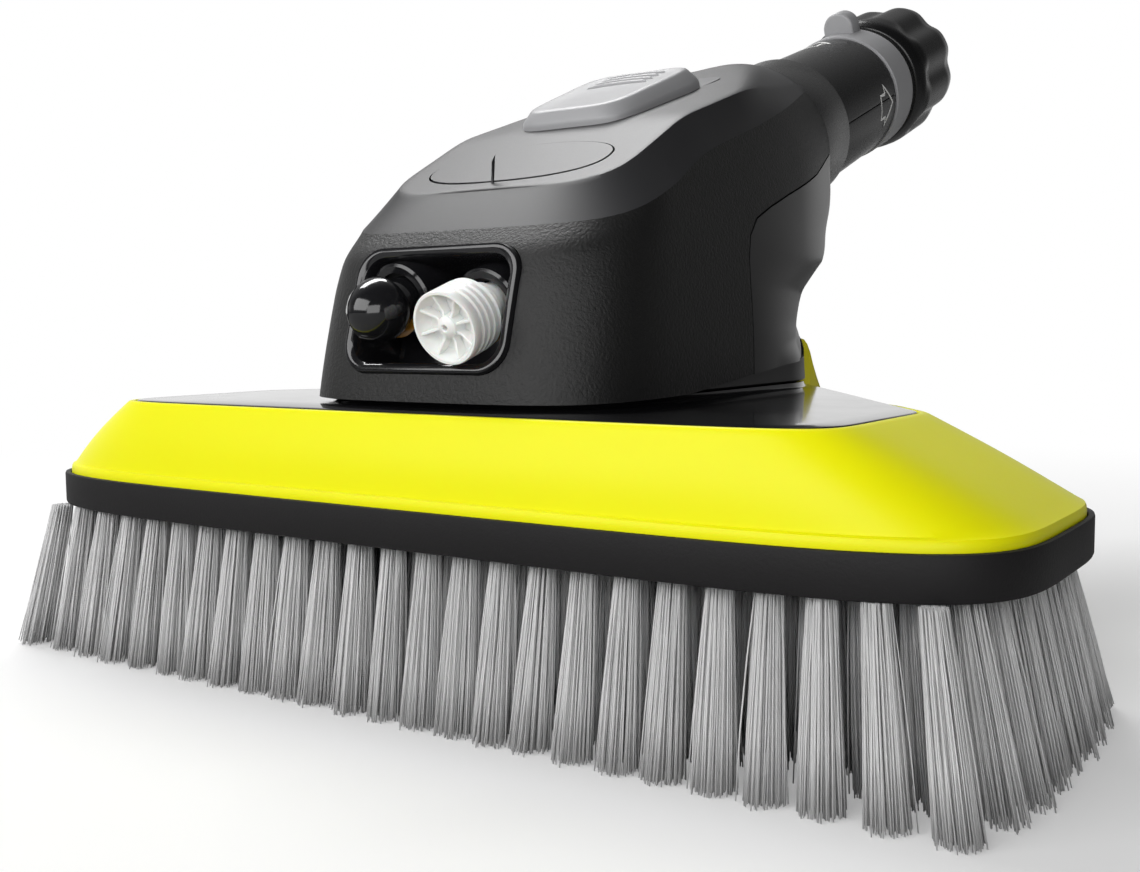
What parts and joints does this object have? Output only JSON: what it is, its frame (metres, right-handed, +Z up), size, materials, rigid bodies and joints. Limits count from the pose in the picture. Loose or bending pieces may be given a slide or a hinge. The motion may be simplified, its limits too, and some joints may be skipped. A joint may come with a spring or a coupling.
{
  "type": "wheel brush",
  "caption": "Oblong wash brush head with a lift-off housing that holds a foam nozzle, a fan nozzle and a mode slider on an inclined lance tube with bayonet coupling.",
  "frame": {"origin": "on the floor at the bristle tips, under the middle of the bristle field", "axes": "+X along the brush, -Y the nozzle side, +Y the handle side, +Z up"},
  "size_m": [0.2428, 0.3068, 0.1859],
  "materials": {
    "bristle": "translucent filament",
    "rim_plastic": "fine grain",
    "yellow_cover": "moulded gloss",
    "yellow_lever": "moulded gloss",
    "deck_gloss": "piano gloss",
    "badge_gloss": "gloss",
    "satin_black": "satin",
    "satin_grey_black": "satin",
    "textured_black": "spark eroded grain",
    "grey_plastic": "satin",
    "white_plastic": "moulded gloss",
    "amber_plastic": "translucent",
    "inner_black": "as moulded",
    "tube_black": "satin gloss",
    "seal_rubber": "smooth",
    "steel": "zinc plated"
  },
  "bodies": {
    "brush_head": {"bristle_block": "rim_plastic", "tuft_row_1": "bristle", "tuft_row_2": "bristle", "tuft_row_3": "bristle", "tuft_row_4": "bristle", "tuft_row_5": "bristle", "tuft_row_6": "bristle", "tuft_row_7": "bristle", "tuft_row_8": "bristle", "tuft_row_9": "bristle", "head_cover": "yellow_cover", "deck_plate": "deck_gloss", "cover_screws": "steel", "lever_pin": "steel", "lever_spring": "steel"},
    "lever": {"release_lever": "yellow_lever"},
    "housing": {"base_collar": "satin_black", "front_housing": "textured_black", "rear_cover": "satin_black", "top_cover": "satin_grey_black", "badge_plate": "badge_gloss", "valve_block": "inner_black", "window_bezel": "deck_gloss", "nozzle_carrier": "amber_plastic", "foam_nozzle": "white_plastic", "fan_nozzle": "badge_gloss", "nozzle_seals": "seal_rubber", "feed_pipe": "inner_black", "lance_collar": "satin_black", "tube_upper": "tube_black", "tube_lower": "tube_black", "seal_rings": "tube_black", "grip_cap": "tube_black", "bayonet_spigot": "inner_black", "spigot_seal": "seal_rubber", "inlet_filter": "white_plastic"},
    "slider": {"mode_slider": "grey_plastic", "valve_spool": "white_plastic"},
    "selector": {"selector_ring": "grey_plastic"}
  },
  "joints": [
    {"name": "head_release", "type": "slide", "parent": "brush_head", "child": "housing", "axis": [0, 0, 1], "range_m": [0, 0.03]},
    {"name": "lever_pull", "type": "hinge", "parent": "brush_head", "child": "lever", "pos_m": [0, 0.104, 0.05], "axis": [-1, 0, 0], "range_deg": [0, 10], "stiffness_Nm_per_rad": 0.4, "springref_deg": -5.73},
    {"name": "mode_slide", "type": "slide", "parent": "housing", "child": "slider", "axis": [0, 0.9444, 0.3289], "range_m": [0, 0.01]},
    {"name": "selector_turn", "type": "hinge", "parent": "housing", "child": "selector", "pos_m": [0, 0.183, 0.1481], "axis": [0, 0.9424, 0.3344], "range_deg": [0, 95]}
  ]
}
